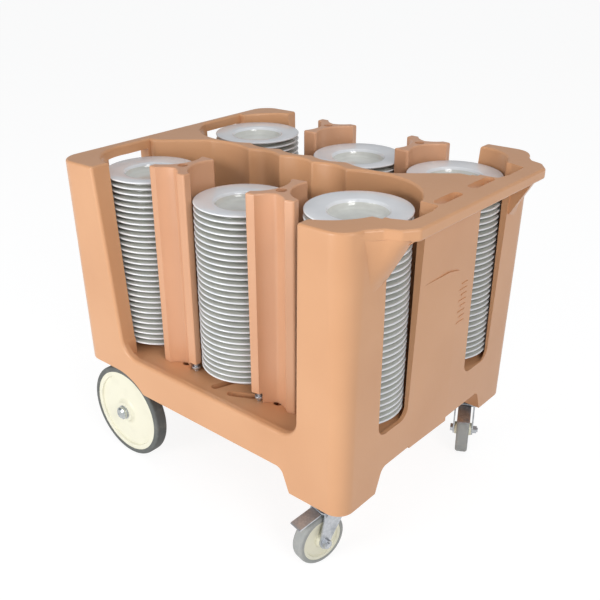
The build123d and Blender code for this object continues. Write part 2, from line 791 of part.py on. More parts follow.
def pedal_pin():
    """Pin that the pedal turns on, between the fork legs."""
    length = caster_fork_gap + 2 * caster_fork_thickness + 4
    pin = Cylinder(pedal_pin_diameter / 2, length, rotation=(0, 90, 0))
    return Pos(0, -pedal_pin_back, pedal_pin_height) * pin


# ---------------------------------------------------------------- assembly
def group(solids):
    """Separate solids that share one node."""
    return Compound(list(solids))


def build_parts():
    """Every node of the cart, by name, about the middle of the body."""
    parts = {"cart_body": cart_body()}
    for i, place in enumerate(tower_places):
        side = clamp_sides[i]
        parts[f"tower_{i + 1}"] = tower_frame(i) * tower(side)
        parts[f"tower_clamp_{i + 1}"] = tower_frame(i) * Pos(side * clamp_offset, clamp_y, 0) * tower_clamp()
    for i, (x, y) in enumerate(stack_places):
        parts[f"plate_stack_{i + 1}"] = Pos(x, y, 0) * plate_stack(stack_heights[i])
    cap_seat = rear_wheel_outer_y + side_clearance + washer_thickness
    axle_length = 2 * (cap_seat + axle_end_length)
    parts["rear_axle"] = Pos(rear_axle_x, 0, rear_radius) * Cylinder(
        rear_axle_diameter / 2, axle_length, rotation=(90, 0, 0))
    bracket_bolts = []
    plate_bolts = []
    for name, side in (("near", -1), ("far", 1)):
        wheel = Pos(rear_axle_x, 0, rear_radius) * Rot(0, 0, 0 if side == 1 else 180)
        overhang = (rear_hub_width - rear_tyre_width) / 2
        at_tyre = wheel * Pos(0, rear_wheel_outer_y - overhang - rear_tyre_width, 0)
        parts[f"rear_tyre_{name}"] = at_tyre * rear_tyre()
        parts[f"rear_hub_{name}"] = at_tyre * rear_hub()
        parts[f"rear_bush_{name}"] = at_tyre * rear_bush()
        bore = rear_axle_diameter / 2 + fit_gap
        collar_y = wheel_inner_y - side_clearance - collar_length
        parts[f"rear_collar_{name}"] = wheel * Pos(0, collar_y, 0) * ring(bore, bore + 7, collar_length)
        washer = ring(bore, rear_cap_diameter / 2 + 2, washer_thickness)
        parts[f"rear_washer_{name}"] = wheel * Pos(0, rear_wheel_outer_y + side_clearance, 0) * washer
        parts[f"axle_cap_{name}"] = wheel * Pos(0, cap_seat, 0) * axle_cap()
        parts[f"axle_bracket_{name}"] = Pos(rear_axle_x, side * bracket_y, rear_radius) * axle_bracket()
        for x, y in bracket_bolt_places(side):
            bracket_bolts.append(Pos(x, y, 0) * bolt_from_below(skirt_height - bracket_thickness))
        for x, y in caster_bolt_places(side):
            plate_bolts.append(Pos(x, y, 0) * bolt_from_below(plate_bottom))
        fixed = Pos(caster_x, side * caster_y, 0)
        parts[f"caster_plate_{name}"] = fixed * caster_plate()
        parts[f"caster_race_{name}"] = fixed * caster_race()
        parts[f"caster_kingpin_{name}"] = fixed * kingpin()
        turned_by = fixed * Rot(0, 0, near_swivel if side == -1 else far_swivel)
        makers = {"fork": caster_fork, "tyre": caster_tyre, "hub": caster_hub, "bush": caster_bush,
                  "axle_bolt": caster_axle_bolt, "axle_nut": caster_axle_nut,
                  "brake_pedal": brake_pedal, "pedal_pin": pedal_pin}
        for piece, make in makers.items():
            parts[f"caster_{piece}_{name}"] = turned_by * make()
    parts["axle_bracket_bolts"] = group(bracket_bolts)
    parts["caster_plate_bolts"] = group(plate_bolts)
    return parts


def model_origin(parts):
    """Move that puts the origin at the middle of the model's box, on the ground."""
    boxes = [shape.bounding_box() for shape in parts.values()]
    low = [min(getattr(box.min, axis) for box in boxes) for axis in "XYZ"]
    high = [max(getattr(box.max, axis) for box in boxes) for axis in "XYZ"]
    return Pos(-(low[0] + high[0]) / 2, -(low[1] + high[1]) / 2, -low[2])


parts = build_parts()
origin = model_origin(parts)
print("origin", origin.position)
os.makedirs("parts", exist_ok=True)
for name, shape in parts.items():
    export_step(origin * shape, f"parts/{name}.step")
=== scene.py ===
"""Plate dispenser cart: a moulded tan bin on wheels with six stacks of white plates.

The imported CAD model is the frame. The towers and the running gear keep their nodes, shaded smooth
across their rounded edges. The bin is a merged copy of its node, reshaped at its front panel and its
gussets, with a flare under each end of the push bar. The stacks are turned as nested plates.
"""
import json
import logging
import random
from collections.abc import Callable
from dataclasses import dataclass, field
from enum import Enum
from functools import partial
from math import atan2, radians, tau

import bpy
from mathutils import Matrix, Vector

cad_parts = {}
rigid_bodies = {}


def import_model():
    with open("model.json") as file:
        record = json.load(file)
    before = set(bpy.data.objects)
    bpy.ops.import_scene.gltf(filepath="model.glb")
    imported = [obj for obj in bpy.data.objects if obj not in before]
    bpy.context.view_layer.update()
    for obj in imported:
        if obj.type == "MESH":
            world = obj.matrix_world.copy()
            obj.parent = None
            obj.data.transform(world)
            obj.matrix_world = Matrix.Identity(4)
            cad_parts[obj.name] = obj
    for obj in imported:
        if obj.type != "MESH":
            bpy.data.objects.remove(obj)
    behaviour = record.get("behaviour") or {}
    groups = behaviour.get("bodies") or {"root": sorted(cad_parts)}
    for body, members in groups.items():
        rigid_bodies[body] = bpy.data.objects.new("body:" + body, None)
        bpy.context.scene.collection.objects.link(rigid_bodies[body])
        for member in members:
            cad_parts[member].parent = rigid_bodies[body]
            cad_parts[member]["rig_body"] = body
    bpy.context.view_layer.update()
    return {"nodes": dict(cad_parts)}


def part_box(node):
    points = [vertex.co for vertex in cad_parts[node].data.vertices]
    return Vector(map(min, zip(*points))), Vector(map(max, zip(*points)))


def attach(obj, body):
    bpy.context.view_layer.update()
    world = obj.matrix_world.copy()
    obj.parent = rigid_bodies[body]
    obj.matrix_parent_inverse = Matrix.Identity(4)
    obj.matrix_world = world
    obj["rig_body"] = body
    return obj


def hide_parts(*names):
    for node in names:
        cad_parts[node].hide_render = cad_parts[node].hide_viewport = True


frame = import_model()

LOG = logging.getLogger("cart")
Colour = tuple[float, float, float, float]
Point = tuple[float, float]
Limits = tuple[float, float]
Place = tuple[float, float, float]

# Lengths are in metres and angles in degrees. The bin's middle plane lies off the frame's origin, and
# its walls and posts widen upwards by the slope. Faces that meet at less than an angle are shaded as
# one: the crease angle is for new pieces, the facet angle for CAD nodes. The mix sockets are those of
# a colour mix: its factor, its two colours and its result.
STACKS = 6
TOWERS = ("tower_1", "tower_2", "tower_3", "tower_4")
MIDDLE_PLANE = 0.01577
WALL_SLOPE = 0.0208
MERGE_DISTANCE = 0.00002
CREASE_ANGLE = 50.0
FACET_ANGLE = 38.0
WHITE = (1, 1, 1, 1)
MIX_INPUTS = (0, 6, 7)
MIX_RESULT = 2


def srgb(red: int, green: int, blue: int) -> Colour:
    """Linear colour of a display colour.

    Args:
        red: Red from 0 to 255.
        green: Green from 0 to 255.
        blue: Blue from 0 to 255.

    Returns:
        The linear colour with an alpha of 1.
    """
    shares = [level / 255 for level in (red, green, blue)]
    linear = [s / 12.92 if s <= 0.04045 else ((s + 0.055) / 1.055) ** 2.4 for s in shares]
    return (linear[0], linear[1], linear[2], 1.0)


def grey(level: float) -> Colour:
    """Plain grey of one linear level."""
    return (level, level, level, 1)


def moved(profile: tuple[Point, ...], out: float, up: float) -> list[Point]:
    """A profile's points, moved outwards and upwards."""
    return [(out + dx, up + dz) for dx, dz in profile]


# ---------------------------------------------------------------- shader maths
@dataclass(frozen=True)
class Pattern:
    """Noise that is remapped to read 0 at its low limit and 1 at its high one."""

    scale: float
    detail: float
    low: float
    high: float
    roughness: float = 0.5


@dataclass(frozen=True)
class Relief:
    """Noise that raises the skin by a depth in metres."""

    scale: float
    detail: float
    strength: float
    depth: float


@dataclass(frozen=True)
class Sheen:
    """Noise that varies a roughness: its spread, and how far below the roughness it starts."""

    scale: float
    detail: float
    spread: float
    below: float


class Value:
    """One shader output. Python arithmetic on it adds Math nodes to its tree."""

    def __init__(self, graph: "Graph", socket: bpy.types.NodeSocket) -> None:
        """Keeps the tree and the output."""
        self.graph = graph
        self.socket = socket

    def math(self, operation: str, left: object, right: object, clamp: bool = False) -> "Value":
        """Adds one Math node.

        Args:
            operation: Name of the operation.
            left: First operand.
            right: Second operand.
            clamp: Keeps the result between 0 and 1.

        Returns:
            The node's output.
        """
        settings = {"operation": operation, "use_clamp": clamp}
        return self.graph.add("ShaderNodeMath", settings, {0: left, 1: right}).value()

    def __add__(self, other: object) -> "Value":
        """Sum."""
        return self.math("ADD", self, other)

    __radd__ = __add__

    def __sub__(self, other: object) -> "Value":
        """Difference."""
        return self.math("SUBTRACT", self, other)

    def __rsub__(self, other: object) -> "Value":
        """Difference, reflected."""
        return self.math("SUBTRACT", other, self)

    def __mul__(self, other: object) -> "Value":
        """Product."""
        return self.math("MULTIPLY", self, other)

    __rmul__ = __mul__

    def held(self) -> "Value":
        """The same value, kept between 0 and 1."""
        return self.math("ADD", self, 0.0, clamp=True)


class Placed:
    """One node of a tree, whose outputs are fetched by name."""

    def __init__(self, graph: "Graph", node: bpy.types.Node) -> None:
        """Keeps the tree and the node."""
        self.graph = graph
        self.node = node

    def value(self, output: str | int = 0) -> Value:
        """One output of the node."""
        return Value(self.graph, self.node.outputs[output])


class Graph:
    """The node tree of one material or world."""

    def __init__(self, tree: bpy.types.NodeTree) -> None:
        """Empties the tree."""
        self.tree = tree
        tree.nodes.clear()

    def add(self, kind: str, settings: dict[str, object], inputs: dict[str | int, object]) -> Placed:
        """Adds a node.

        Args:
            kind: The node's type.
            settings: Its settings, set first.
            inputs: Numbers, colours or values for its sockets, by name or index.

        Returns:
            The placed node.
        """
        node = self.tree.nodes.new(kind)
        for name, setting in settings.items():
            setattr(node, name, setting)
        for name, given in inputs.items():
            if isinstance(given, Value):
                self.tree.links.new(given.socket, node.inputs[name])
            else:
                node.inputs[name].default_value = given
        return Placed(self, node)

    def place(self) -> Value:
        """Object coordinates of the point that is shaded."""
        return self.add("ShaderNodeTexCoord", {}, {}).value("Object")

    def stretched(self, scale: Place) -> Value:
        """Object coordinates scaled along each axis."""
        return self.add("ShaderNodeMapping", {}, {"Vector": self.place(), "Scale": scale}).value()

    def noise(self, scale: float, detail: float, roughness: float = 0.5, at: Value | None = None) -> Value:
        """Noise over the surface.

        Args:
            scale: Lumps per metre.
            detail: Octaves.
            roughness: Weight of the finer octaves.
            at: Where it is read, or None for the object coordinates.

        Returns:
            The noise, about 0.5.
        """
        where = at or self.place()
        inputs = {"Vector": where, "Scale": scale, "Detail": detail, "Roughness": roughness}
        return self.add("ShaderNodeTexNoise", {"noise_dimensions": "3D"}, inputs).value()

    def ramp(self, factor: Value, low: float, high: float) -> Value:
        """Factor remapped so that low gives 0 and high gives 1, kept in that range."""
        inputs = {"Value": factor, "From Min": low, "From Max": high}
        return self.add("ShaderNodeMapRange", {"clamp": True}, inputs).value()

    def pattern(self, pattern: Pattern, at: Value | None = None) -> Value:
        """Noise remapped to a pattern's limits, from 0 to 1."""
        noise = self.noise(pattern.scale, pattern.detail, pattern.roughness, at)
        return self.ramp(noise, pattern.low, pattern.high)

    def sheen(self, sheen: Sheen, roughness: float) -> Value:
        """A roughness that the sheen's noise varies."""
        noise = self.noise(sheen.scale, sheen.detail)
        return noise * sheen.spread + (roughness - sheen.below)

    def relief(self, relief: Relief, under: Value | None = None) -> Value:
        """Normal of a skin raised by noise.

        Args:
            relief: The noise, its strength and its depth.
            under: A coarser relief that this one lies on.

        Returns:
            The normal.
        """
        height = self.noise(relief.scale, relief.detail)
        inputs = {"Height": height, "Strength": relief.strength, "Distance": relief.depth}
        if under is not None:
            inputs["Normal"] = under
        return self.add("ShaderNodeBump", {}, inputs).value()

    def mix(self, factor: object, one: object, two: object) -> Value:
        """Mixed colour: one where the factor is 0, two where it is 1."""
        inputs = dict(zip(MIX_INPUTS, (factor, one, two)))
        return self.add("ShaderNodeMix", {"data_type": "RGBA"}, inputs).value(MIX_RESULT)

    def seen_by(self, first: str, *others: str) -> Value:
        """Mask of some kinds of rays.

        Args:
            first: One kind of ray.
            others: The other kinds.

        Returns:
            1 where a ray is of one of these kinds, otherwise 0.
        """
        path = self.add("ShaderNodeLightPath", {}, {})
        seen = path.value(f"Is {first} Ray")
        for kind in others:
            seen = seen + path.value(f"Is {kind} Ray")
        return seen.held()

    def surface(self, inputs: dict[str | int, object]) -> None:
        """Finishes the tree with a Principled shader of these inputs."""
        shader = self.add("ShaderNodeBsdfPrincipled", {}, inputs).value()
        self.add("ShaderNodeOutputMaterial", {}, {"Surface": shader})


# ---------------------------------------------------------------- finishes
class Finish:
    """A finish that is made into a material once and then shared."""

    made: dict[str, bpy.types.Material] = {}

    def build(self, graph: Graph) -> None:
        """Fills the material's tree."""
        raise NotImplementedError

    def material(self, name: str) -> bpy.types.Material:
        """The finish's material.

        Args:
            name: Name of the material.

        Returns:
            The material, made on its first use.
        """
        if name not in Finish.made:
            material = bpy.data.materials.new(name)
            material.use_nodes = True
            self.build(Graph(material.node_tree))
            Finish.made[name] = material
        return Finish.made[name]


@dataclass(frozen=True)
class MouldedTan(Finish):
    """Rotationally moulded polyethylene: satin, finely pebbled, faintly mottled and scuffed."""

    light: Colour = srgb(214, 161, 119)
    dark: Colour = srgb(208, 154, 112)
    scuff: Colour = srgb(184, 134, 100)
    roughness: float = 0.33
    ior: float = 1.48
    mottle: Pattern = Pattern(5, 2, 0.3, 0.7)
    speckle: Pattern = Pattern(420, 2, 0.62, 0.8)
    speckle_share: float = 0.18
    streaks: Pattern = Pattern(26, 5, 0.66, 0.78, 0.65)
    streak_stretch: Place = (1, 1, 0.12)
    patches: Pattern = Pattern(9, 2, 0.5, 0.62)
    scuff_share: float = 0.3
    scuff_dulling: float = 0.12
    waves: Relief = Relief(9, 1, 0.3, 0.001)
    pebbles: Relief = Relief(620, 3, 0.22, 0.00045)
    sheen: Sheen = Sheen(60, 3, 0.12, 0.06)

    def build(self, graph: Graph) -> None:
        """Mottles the colour, dulls the scuffs and adds the pebbled skin.

        Args:
            graph: The material's tree.
        """
        base = graph.mix(graph.pattern(self.mottle), self.dark, self.light)
        base = graph.mix(graph.pattern(self.speckle) * self.speckle_share, base, self.scuff)
        streaks = graph.pattern(self.streaks, graph.stretched(self.streak_stretch))
        scuffs = (streaks * graph.pattern(self.patches)).held()
        base = graph.mix(scuffs * self.scuff_share, base, self.scuff)
        normal = graph.relief(self.pebbles, graph.relief(self.waves))
        rough = graph.sheen(self.sheen, self.roughness) + scuffs * self.scuff_dulling
        graph.surface({"Base Color": base, "Roughness": rough, "Normal": normal, "IOR": self.ior})


@dataclass(frozen=True)
class WhiteGlaze(Finish):
    """Glazed white china, slightly blue, with a faint orange-peel skin."""

    body: Colour = srgb(233, 235, 238)
    shade: Colour = srgb(224, 227, 231)
    roughness: float = 0.14
    ior: float = 1.52
    coat_weight: float = 0.35
    coat_roughness: float = 0.05
    clouds: Pattern = Pattern(18, 3, 0.35, 0.7)
    peel: Relief = Relief(90, 2, 0.12, 0.0004)
    sheen: Sheen = Sheen(140, 2, 0.08, 0.04)

    def build(self, graph: Graph) -> None:
        """Clouds the white a little and ripples the glaze.

        Args:
            graph: The material's tree.
        """
        base = graph.mix(graph.pattern(self.clouds), self.body, self.shade)
        normal = graph.relief(self.peel)
        rough = graph.sheen(self.sheen, self.roughness)
        graph.surface({"Base Color": base, "Roughness": rough, "Normal": normal, "IOR": self.ior,
                       "Coat Weight": self.coat_weight, "Coat Roughness": self.coat_roughness})


@dataclass(frozen=True)
class WheelRubber(Finish):
    """Solid wheel rubber, finely grained and a little dusty."""

    base: Colour = srgb(92, 95, 93)
    dust: Colour = srgb(128, 129, 124)
    roughness: float = 0.62
    dusting: Pattern = Pattern(34, 5, 0.5, 0.72, 0.6)
    dust_share: float = 0.55
    grain: Relief = Relief(900, 2, 0.3, 0.0003)
    sheen: Sheen = Sheen(70, 2, 0.14, 0.04)

    def build(self, graph: Graph) -> None:
        """Dusts the rubber and grains it.

        Args:
            graph: The material's tree.
        """
        colour = graph.mix(graph.pattern(self.dusting) * self.dust_share, self.base, self.dust)
        normal = graph.relief(self.grain)
        rough = graph.sheen(self.sheen, self.roughness)
        graph.surface({"Base Color": colour, "Roughness": rough, "Normal": normal})


@dataclass(frozen=True)
class WheelPlastic(Finish):
    """Moulded wheel plastic, smooth with faint flow marks."""

    base: Colour = srgb(232, 229, 208)
    worn: Colour = srgb(212, 208, 186)
    roughness: float = 0.34
    ior: float = 1.5
    wear: Pattern = Pattern(24, 3, 0.5, 0.8)
    wear_share: float = 0.3
    flow: Relief = Relief(300, 2, 0.12, 0.0002)
    sheen: Sheen = Sheen(50, 3, 0.14, 0.06)

    def build(self, graph: Graph) -> None:
        """Tints the plastic unevenly and ripples it.

        Args:
            graph: The material's tree.
        """
        colour = graph.mix(graph.pattern(self.wear) * self.wear_share, self.base, self.worn)
        normal = graph.relief(self.flow)
        rough = graph.sheen(self.sheen, self.roughness)
        graph.surface({"Base Color": colour, "Roughness": rough, "Normal": normal, "IOR": self.ior})


@dataclass(frozen=True)
class ZincPlate(Finish):
    """Bright zinc plating with a soft spangle and dull smears."""

    bright: Colour = srgb(205, 208, 212)
    dull: Colour = srgb(158, 162, 168)
    roughness: float = 0.42
    polish: float = 0.04
    spangle_scale: float = 160.0
    spangle_limits: Limits = (0.1, 0.8)
    spangle_share: float = 0.35
    spangle_dulling: float = 0.06
    smears: Pattern = Pattern(38, 4, 0.45, 0.7, 0.6)
    smear_share: float = 0.45
    smear_dulling: float = 0.18
    ripple: Relief = Relief(260, 2, 0.1, 0.0002)

    def build(self, graph: Graph) -> None:
        """Spangles the plating and dulls it in patches.

        Args:
            graph: The material's tree.
        """
        inputs = {"Vector": graph.place(), "Scale": self.spangle_scale}
        cells = graph.add("ShaderNodeTexVoronoi", {}, inputs).value("Distance")
        spangle = graph.ramp(cells, *self.spangle_limits)
        smear = graph.pattern(self.smears)
        dulled = (spangle * self.spangle_share + smear * self.smear_share).held()
        colour = graph.mix(dulled, self.bright, self.dull)
        rough = smear * self.smear_dulling + spangle * self.spangle_dulling + (self.roughness - self.polish)
        normal = graph.relief(self.ripple)
        graph.surface({"Base Color": colour, "Roughness": rough, "Metallic": 1.0, "Normal": normal})


class Dressing(Enum):
    """The finishes of the cart, by the name of their material."""

    BIN = ("moulded tan", MouldedTan())
    TOWER = ("tower tan", MouldedTan(light=srgb(215, 163, 127), dark=srgb(208, 155, 119), roughness=0.31))
    CHINA = ("white glaze", WhiteGlaze())
    # A darker, grey-green copy of the glaze: painted shade for the gaps between stacked plates and the top
    # plate's well.
    PAINTED_GAP_SHADE = ("painted gap shade glaze", WhiteGlaze(body=srgb(216, 217, 211), shade=srgb(204, 205, 199)))
    REAR_RUBBER = ("rear tyre rubber", WheelRubber())
    CASTER_RUBBER = ("caster tyre rubber", WheelRubber(base=srgb(158, 160, 158), dust=srgb(182, 181, 174)))
    HUB = ("hub plastic", WheelPlastic())
    CAP = ("axle cap plating",
           ZincPlate(bright=srgb(196, 200, 200), dull=srgb(150, 155, 156), roughness=0.2))
    BUSH = ("bush plastic", WheelPlastic(base=srgb(44, 44, 46), worn=srgb(60, 60, 60), roughness=0.5))
    ZINC = ("zinc plating", ZincPlate())

    def material(self) -> bpy.types.Material:
        """The material of this finish."""
        name, finish = self.value
        return finish.material(name)


# ---------------------------------------------------------------- workbench
class Bench:
    """Modelling steps that several pieces share."""

    @staticmethod
    def clear() -> None:
        """Deselects everything and leaves edit mode."""
        if bpy.context.object and bpy.context.object.mode != "OBJECT":
            bpy.ops.object.mode_set(mode="OBJECT")
        bpy.ops.object.select_all(action="DESELECT")

    @staticmethod
    def hold(piece: bpy.types.Object) -> None:
        """Makes one piece the only selected and active object.

        Args:
            piece: The piece.
        """
        Bench.clear()
        piece.select_set(True)
        bpy.context.view_layer.objects.active = piece

    @staticmethod
    def dress(piece: bpy.types.Object, dressing: Dressing) -> None:
        """Gives a piece one finish all over."""
        piece.data.materials.clear()
        piece.data.materials.append(dressing.material())

    @staticmethod
    def shift(piece: bpy.types.Object, chosen: Callable[[Vector], bool], by: Place) -> None:
        """Moves some corners of a piece.

        Args:
            piece: The piece.
            chosen: Tells by its place whether a corner moves.
            by: How far they move along each axis.
        """
        Bench.hold(piece)
        bpy.ops.object.mode_set(mode="EDIT")
        bpy.ops.mesh.select_all(action="DESELECT")
        bpy.ops.object.mode_set(mode="OBJECT")
        for vertex in piece.data.vertices:
            vertex.select = chosen(vertex.co)
        bpy.ops.object.mode_set(mode="EDIT")
        bpy.ops.transform.translate(value=by)
        bpy.ops.object.mode_set(mode="OBJECT")

    @staticmethod
    def turned(name: str, outline: list[Point], segments: int, centre: Vector) -> bpy.types.Object:
        """Turns an outline about an upright axis.

        Args:
            name: Name of the piece.
            outline: Radius and height of each point, from the lower pole to the upper one.
            segments: Steps of the full turn.
            centre: Place of the axis on the ground.

        Returns:
            The piece, closed at its poles.
        """
        Bench.clear()
        speck = 0.001
        start = Vector((centre.x + outline[0][0], centre.y, outline[0][1]))
        bpy.ops.mesh.primitive_plane_add(size=speck, location=start)
        piece = bpy.context.object
        piece.name = name
        piece.data.name = name
        bpy.ops.object.mode_set(mode="EDIT")
        bpy.ops.mesh.select_all(action="SELECT")
        bpy.ops.mesh.merge(type="CENTER")
        for (r0, z0), (r1, z1) in zip(outline, outline[1:]):
            step = {"value": (r1 - r0, 0, z1 - z0)}
            bpy.ops.mesh.extrude_vertices_move(TRANSFORM_OT_translate=step)
        bpy.ops.mesh.select_all(action="SELECT")
        bpy.ops.mesh.spin(steps=segments, angle=tau, center=centre, axis=(0, 0, 1))
        bpy.ops.mesh.select_all(action="SELECT")
        bpy.ops.mesh.remove_doubles(threshold=MERGE_DISTANCE)
        bpy.ops.mesh.normals_make_consistent(inside=False)
        bpy.ops.object.mode_set(mode="OBJECT")
        bpy.ops.object.transform_apply(location=True, rotation=True, scale=True)
        return piece

    @staticmethod
    def smoothed(piece: bpy.types.Object, dressing: Dressing) -> None:
        """Dresses a CAD node, or a copy of one, and shades its rounded edges smooth.

        Args:
            piece: The node or copy, whose mesh stays as it is.
            dressing: Its finish.
        """
        Bench.dress(piece, dressing)
        Bench.hold(piece)
        bpy.ops.object.shade_smooth()
        weld = piece.modifiers.new("joined faces", "WELD")
        weld.merge_threshold = MERGE_DISTANCE
        split = piece.modifiers.new("kept edges", "EDGE_SPLIT")
        split.split_angle = radians(FACET_ANGLE)
        split.use_edge_sharp = False
        level = piece.modifiers.new("level flats", "WEIGHTED_NORMAL")
        level.mode = "FACE_AREA"


# ---------------------------------------------------------------- sub-assemblies
@dataclass
class Bodywork:
    """The moulded bin with its bar flares, and the towers.

    The raised front panel stands out from the wall by panel_rise, and panel_edge is where its edge
    beside the near window lies. panel_foot is the wall's distance forward and height at its foot.
    """

    panel_rise: float = 0.0033
    panel_edge: float = -0.08523
    panel_foot: Point = (0.39025, 0.216)
    panel_top: float = 0.63
    gusset_side: float = 0.286
    gusset_margin: float = 0.0006
    gusset_back: float = 0.392
    gusset_levels: Limits = (0.68, 0.8)
    gusset_slimming: float = 0.033

    def shell(self) -> bpy.types.Object:
        """Reshapes a copy of the bin's node.

        The raised front panel fades out towards the near window, and the gussets get slimmer.

        Returns:
            The copy, which stands for the node.
        """
        node = frame["nodes"]["cart_body"]
        piece = bpy.data.objects.new("bin_shell", node.data.copy())
        piece.data.name = "bin_shell"
        bpy.context.scene.collection.objects.link(piece)
        Bench.hold(piece)
        bpy.ops.object.mode_set(mode="EDIT")
        bpy.ops.mesh.select_all(action="SELECT")
        bpy.ops.mesh.remove_doubles(threshold=MERGE_DISTANCE)
        Bench.shift(piece, self.on_panel_edge, (-self.panel_rise, 0, 0))
        for side in (-1, 1):
            inwards = (0, -side * self.gusset_slimming, 0)
            Bench.shift(piece, partial(self.on_gusset_side, side), inwards)
        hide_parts("cart_body")
        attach(piece, node["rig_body"])
        return piece

    def on_panel_edge(self, place: Vector) -> bool:
        """Whether a point lies on the raised panel's edge beside the near window.

        Args:
            place: The point.

        Returns:
            True if it does.
        """
        wall = self.panel_foot[0] + (place.z - self.panel_foot[1]) * WALL_SLOPE
        raised = place.x > wall + self.panel_rise / 2 and place.z < self.panel_top
        return raised and abs(place.y - self.panel_edge) < self.panel_rise / 4

    def on_gusset_side(self, side: int, place: Vector) -> bool:
        """Whether a point lies on the outer side of the gusset under one end of the bar.

        Args:
            side: -1 for the near end, 1 for the far end.
            place: The point.

        Returns:
            True if it does.
        """
        low, high = self.gusset_levels
        beside = abs(place.y - MIDDLE_PLANE - side * self.gusset_side) < self.gusset_margin
        return beside and place.x > self.gusset_back and low < place.z < high

    def build(self) -> None:
        """Dresses the bin and the towers, and adds the flares."""
        Bench.smoothed(self.shell(), Dressing.BIN)
        LOG.info("bin dressed")
        BarFlare("near", -1).build()
        BarFlare("far", 1).build()
        for name in TOWERS:
            Bench.smoothed(frame["nodes"][name], Dressing.TOWER)
            LOG.info("%s dressed", name)


@dataclass
class BarFlare:
    """The flare that carries one end of the push bar and runs out into the corner post.

    Its points are distances forward and from the middle plane. post is the corner post's axis, and
    post_radius its radius at the rim. A section's outline starts root from the middle plane at the
    lowest level, and root_run further out at the highest. Each level gives its height, the distance of
    its free edge from the middle plane, and the share of the bar's end that it has reached.
    """

    name: str
    side: int
    post: Point = (0.3489, 0.312)
    post_radius: float = 0.0537
    rim: float = 0.8253
    root: float = 0.29
    root_run: float = 0.0312
    inner: tuple[Point, ...] = ((0.3924, 0.2457), (0.3924, 0.27))
    bar_end: tuple[Point, ...] = (
        (0.4238, 0.2906), (0.4392, 0.2856), (0.4543, 0.2786), (0.4637, 0.2655), (0.4657, 0.2457),
    )
    levels: tuple[Place, ...] = (
        (0.672, 0.288, -0.02), (0.684, 0.268, 0.02), (0.693, 0.2457, 0.05), (0.7, 0.2457, 0.12),
        (0.72, 0.2457, 0.29), (0.74, 0.2457, 0.465), (0.76, 0.2457, 0.64), (0.78, 0.2457, 0.81),
        (0.791, 0.2457, 0.95), (0.802, 0.2457, 1.0),
    )
    blank_place: Place = (0.4, 0, 0)
    blank_radius: float = 0.02
    blank_step: float = 0.01

    def skin(self, out: float, height: float) -> float:
        """Distance forward of the post's skin.

        Args:
            out: Distance from the middle plane.
            height: Height above the ground.

        Returns:
            The forward distance, a hair inside the skin.
        """
        radius = self.post_radius - (self.rim - height) * WALL_SLOPE
        past = max(0.0, out - self.post[1])
        return self.post[0] + (radius * radius - past * past) ** 0.5

    def section(self, height: float, edge: float, reach: float) -> list[Vector]:
        """Corners of one level section.

        Args:
            height: Height of the section.
            edge: Distance of its free edge from the middle plane.
            reach: Share of the bar's outline that it has reached.

        Returns:
            The corners, from the post to the free edge and back inside.
        """
        first, last = self.levels[0][0], self.levels[-1][0]
        start = self.root + (height - first) / (last - first) * self.root_run
        corners = [(self.skin(start, height), start)]
        for k, (ahead, out) in enumerate(self.bar_end, 1):
            flat = start + (edge - start) * k / len(self.bar_end)
            skin = self.skin(flat, height)
            corners.append((skin + (ahead - skin) * reach, flat + (out - flat) * max(reach, 0)))
        corners += self.inner
        return [Vector((x, MIDDLE_PLANE + self.side * out, height)) for x, out in corners]

    def blank(self, count: int) -> bpy.types.Object:
        """Extrudes a round blank, one step for each level after the first.

        Args:
            count: Corners of its outline.

        Returns:
            The blank, standing on the ground.
        """
        Bench.clear()
        bpy.ops.mesh.primitive_circle_add(vertices=count, radius=self.blank_radius, fill_type="NGON",
                                          location=self.blank_place)
        flare = bpy.context.object
        flare.name = flare.data.name = f"bar_flare_{self.name}"
        bpy.ops.object.mode_set(mode="EDIT")
        bpy.ops.mesh.select_all(action="SELECT")
        step = {"value": (0, 0, self.blank_step)}
        for _ in self.levels[1:]:
            bpy.ops.mesh.extrude_region_move(TRANSFORM_OT_translate=step)
        bpy.ops.object.mode_set(mode="OBJECT")
        return flare

    def build(self) -> None:
        """Moves each corner of the blank to its place on a section and dresses the flare."""
        sections = [self.section(*level) for level in self.levels]
        count = len(sections[0])
        flare = self.blank(count)
        places = [vertex.co.copy() for vertex in flare.data.vertices]
        bpy.ops.object.transform_apply(location=True, rotation=True, scale=True)
        turn = atan2(places[0].y, places[0].x)
        for vertex, place in zip(flare.data.vertices, places):
            corner = round((atan2(place.y, place.x) - turn) / tau * count) % count
            vertex.co = sections[round(place.z / self.blank_step)][corner]
        Bench.hold(flare)
        bpy.ops.object.mode_set(mode="EDIT")
        bpy.ops.mesh.select_all(action="SELECT")
        bpy.ops.mesh.normals_make_consistent(inside=False)
        bpy.ops.object.mode_set(mode="OBJECT")
        bpy.ops.object.shade_smooth_by_angle(angle=radians(CREASE_ANGLE))
        Bench.dress(flare, Dressing.BIN)
        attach(flare, "cart")
        LOG.info("%s flare: %d faces", self.name, len(flare.data.polygons))


